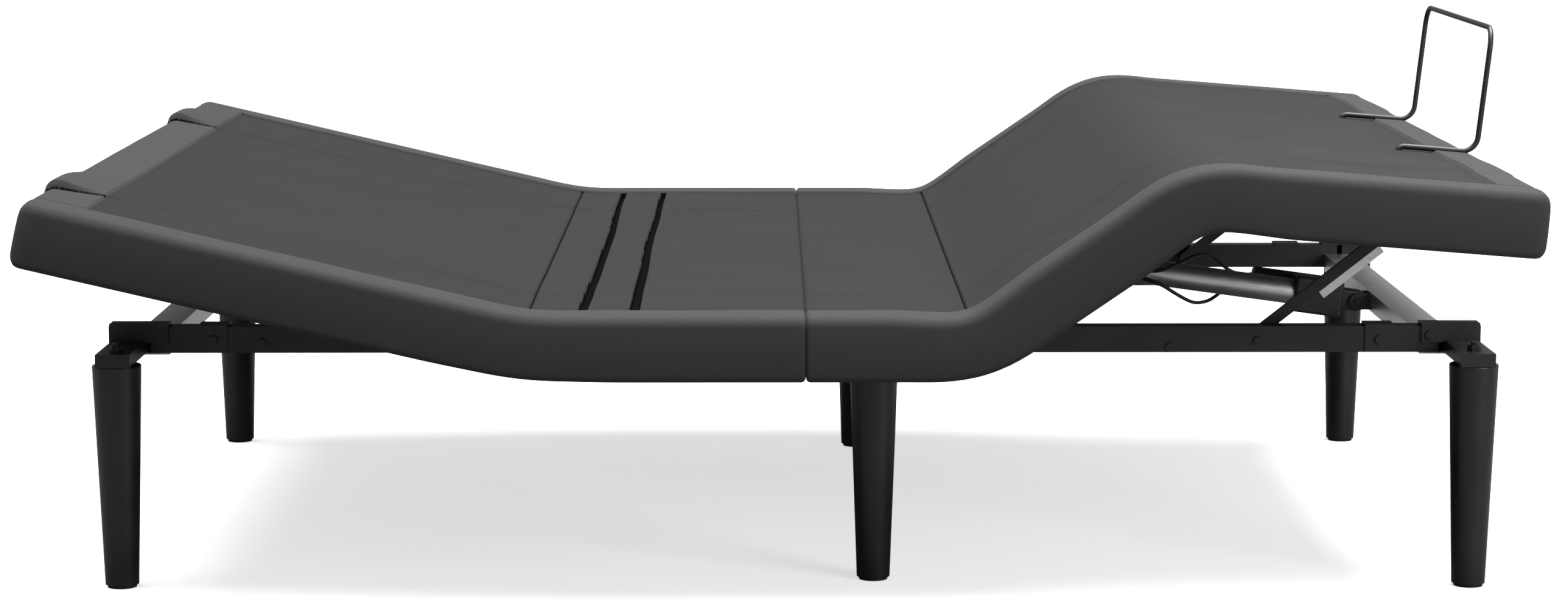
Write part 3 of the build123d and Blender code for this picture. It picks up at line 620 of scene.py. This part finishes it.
def plywood(name):
    """Black-stained plywood face with long grain and fine pores."""
    wood = Shader(name, roughness=0.62, Specular_IOR_Level=0.3)
    place = wood.place()
    grain = wood.noise(wood.stretched(place, (30.0, 2.0, 30.0)), scale=6.0, detail=6.0)
    pores = wood.noise(wood.stretched(place, (300.0, 12.0, 300.0)), scale=5.0, detail=2.0)
    tone = wood.between(wood.weighted((grain, 0.75), (pores, 0.25)), 0.3, 0.7)
    stain = wood.colours(tone, (0.030, 0.027, 0.024), (0.075, 0.068, 0.060))
    wood.wire("Base Color", stain)
    wood.wire("Roughness", wood.between(grain, 0.3, 0.7, 0.55, 0.7))
    wood.bump(pores, 0.0003, strength=0.4)
    return wood.material


def moulded(name, dark, light, roughness, grain, deep):
    """Moulded plastic, nylon or rubber with a fine spark-eroded texture."""
    plastic = Shader(name, roughness=roughness)
    place = plastic.place()
    texture = plastic.noise(place, grain, detail=2.0)
    cloudy = plastic.noise(place, scale=20.0)
    plastic.wire("Base Color", plastic.colours(plastic.between(cloudy, 0.3, 0.7), dark, light))
    plastic.wire("Roughness", plastic.between(cloudy, 0.3, 0.7, roughness - 0.05,
                                              roughness + 0.07))
    plastic.bump(texture, deep, strength=0.5)
    return plastic.material


def drawn_tube(name):
    """Satin aluminium tube with fine lengthwise drawing lines."""
    tube = Shader(name, roughness=0.38, metallic=1.0)
    place = tube.place()
    lines = tube.noise(tube.stretched(place, (2.0, 90.0, 90.0)), scale=12.0, detail=4.0)
    tube.wire("Base Color", tube.colours(lines, (0.78, 0.78, 0.78), (0.96, 0.96, 0.96)))
    tube.wire("Roughness", tube.between(lines, 0.3, 0.7, 0.30, 0.46))
    tube.bump(lines, 0.0001, strength=0.3)
    return tube.material


panel_cloth = woven("panel_cloth", (0.0047, 0.0045, 0.0041), (0.0122, 0.0115, 0.0107),
                    thread=0.0016, sheen=0.02, deep=0.0004)
border_cloth = woven("border_cloth", (0.0195, 0.0195, 0.0195), (0.040, 0.040, 0.040),
                     thread=0.0009, sheen=0.02, deep=0.0002)
# Near-black cloth: painted shade in the gaps, slits and seams of the top, and the black liner under the slats and
# inside the cover
gap_liner = woven("gap_liner", (0.0006, 0.0006, 0.0006), (0.0016, 0.0016, 0.0016),
                  thread=0.0012, sheen=0.0, deep=0.0002, gloss=0.03)

materials = {
    "board": plywood("stained_plywood"),
    "black_steel": coated("powder_coat", (0.008, 0.008, 0.008), (0.016, 0.016, 0.017), 0.42,
                          1400.0, 0.00008),
    "plain_steel": galvanised("galvanised_steel"),
    "leg_finish": coated("satin_leg_paint", (0.007, 0.007, 0.008), (0.013, 0.013, 0.014), 0.36,
                         900.0, 0.00006, Coat_Weight=0.15, Coat_Roughness=0.3),
    "nylon": moulded("natural_nylon", (0.55, 0.54, 0.50), (0.72, 0.71, 0.66), 0.45, 500.0,
                     0.0001),
    "black_plastic": moulded("black_housing", (0.010, 0.010, 0.011), (0.022, 0.022, 0.023), 0.5,
                             1200.0, 0.00012),
    "tube_metal": drawn_tube("drawn_aluminium"),
    "glide_rubber": moulded("glide_rubber", (0.012, 0.012, 0.012), (0.025, 0.025, 0.025), 0.8,
                            700.0, 0.0001),
    "cable_skin": moulded("cable_skin", (0.008, 0.008, 0.008), (0.016, 0.016, 0.016), 0.48,
                          600.0, 0.00005),
}
slot_of = {part["node"]: part["material_slot"] for part in frame["record"]["subparts"]}


def dress_cad_nodes():
    """Gives every CAD node that stays in view the material of its record slot."""
    for node, part in frame["nodes"].items():
        material = materials.get(slot_of[node])
        if material is None:
            continue
        if not part.material_slots:
            part.data.materials.append(material)
        for place in part.material_slots:
            place.material = material


# ---------------------------------------------------------------- covers
def hang_cover(cover, bend, nodes):
    """Gives a cover its cloths and hides its foam."""
    for material in (panel_cloth, border_cloth, gap_liner):
        cover.data.materials.append(material)
    start, end = bend.ends()
    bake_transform(cover)
    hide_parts(*nodes)


slit_marks = [outer + lean * t for outer, lean in SLITS for t in (0, 0.25, 0.5, 0.75, 1.0)]
band_marks = head_end + END_BAND * np.arange(0.3, 1.05, 0.1)
head_cover = make_cover(
    "head_cover", head_bend, head_end, split, rolls=(TOP_ROLL, SPLIT_ROLL), walls=(END_WALL, 0),
    marks=(*band_marks, head_hinge[0], *slat_gaps), y_marks=slit_marks)
seat_cover = make_cover(
    "seat_cover", thigh_bend, split, mid_thigh, rolls=(SPLIT_ROLL, 0), walls=(0, 0),
    marks=(thigh_hinge[0],))
leg_cover = make_cover(
    "leg_cover", knee_bend, mid_thigh, foot_end, rolls=(0, TOP_ROLL), walls=(0, END_WALL),
    marks=(foot_end - FOOT_BAND,))
hang_cover(head_cover, head_bend,
           ("head_padding", "lumbar_padding", "seat_padding_head"))
hang_cover(seat_cover, thigh_bend, ("seat_padding_foot",))
hang_cover(leg_cover, knee_bend, ("thigh_padding", "calf_padding"))
dress_cad_nodes()


# ---------------------------------------------------------------- studio
def soft_light(name, place, aim, power, size):
    """Rectangular lamp at a place, turned to face its aim."""
    light = bpy.data.lights.new(name, "AREA")
    light.shape = "RECTANGLE"
    light.size, light.size_y = size
    light.energy = power
    lamp = bpy.data.objects.new(name, light)
    lamp.location = place
    direction = Vector(aim) - Vector(place)
    lamp.rotation_euler = direction.to_track_quat("-Z", "Y").to_euler()
    bpy.context.scene.collection.objects.link(lamp)


def sky_light(name, strength, spread_angle):
    """Even light from a wide patch of ceiling."""
    light = bpy.data.lights.new(name, "SUN")
    light.energy = strength
    light.angle = spread_angle
    lamp = bpy.data.objects.new(name, light)
    bpy.context.scene.collection.objects.link(lamp)


def make_floor():
    """White to the camera, as in the photograph, and darker to the light under the deck."""
    reach = 30.0
    glow = 0.64
    shaded = (0.12, 0.12, 0.12, 1)
    floor_mesh = bpy.data.meshes.new("studio_floor")
    corners = [(-reach, -reach, 0), (reach, -reach, 0), (reach, reach, 0), (-reach, reach, 0)]
    floor_mesh.from_pydata(corners, [], [(0, 1, 2, 3)])
    floor = bpy.data.objects.new("studio_floor", floor_mesh)
    paint = Shader("floor_paint", roughness=0.9, Specular_IOR_Level=0.1)
    cloudy = paint.noise(paint.place(), 3.0, 3.0)
    seen = paint.node("ShaderNodeLightPath").outputs["Is Camera Ray"]
    white = paint.colours(cloudy, (0.80, 0.80, 0.80), (0.82, 0.82, 0.82))
    shade = paint.node("ShaderNodeMix", {0: seen, 6: shaded, 7: white}, data_type="RGBA")
    paint.wire("Base Color", shade.outputs[2])
    paint.surface.inputs["Emission Color"].default_value = (1, 1, 1, 1)
    paint.wire("Emission Strength", paint.math("MULTIPLY", seen, glow))
    floor_mesh.materials.append(paint.material)
    bpy.context.scene.collection.objects.link(floor)


def make_world(strength, seen_strength):
    """Even white air, which lights the bed less than it shows behind it."""
    world = bpy.data.worlds.new("studio_air")
    bpy.context.scene.world = world
    world.use_nodes = True
    background = world.node_tree.nodes["Background"]
    background.inputs["Color"].default_value = (1, 1, 1, 1)
    seen = world.node_tree.nodes.new("ShaderNodeLightPath").outputs["Is Camera Ray"]
    level = world.node_tree.nodes.new("ShaderNodeMapRange")
    level.inputs["To Min"].default_value = strength
    level.inputs["To Max"].default_value = seen_strength
    world.node_tree.links.new(seen, level.inputs["Value"])
    world.node_tree.links.new(level.outputs[0], background.inputs["Strength"])


def make_camera():
    """The photographer stands well back on the sleeper's right, a little above the deck."""
    camera_data = bpy.data.cameras.new("camera")
    camera_data.lens = 82.10
    camera_data.sensor_width = 36.0
    camera = bpy.data.objects.new("camera", camera_data)
    camera.location = (-0.0307, -5.2862, 1.0685)
    camera.rotation_euler = (pi / 2 - 0.143, 0.0, -0.005)
    bpy.context.scene.collection.objects.link(camera)
    bpy.context.scene.camera = camera


make_floor()
make_world(strength=0.27, seen_strength=1.02)
sky_light("overhead", strength=7.7, spread_angle=radians(62))
soft_light("foot_side", (2.6, -2.6, 1.3), aim=(0.9, -0.7, 0.5), power=44.0, size=(1.4, 1.4))
soft_light("foot_top", (1.35, 0.2, 2.2), aim=(0.85, 0.0, 0.6), power=36.0, size=(1.0, 1.0))
make_camera()
bpy.context.scene.view_settings.view_transform = "Standard"
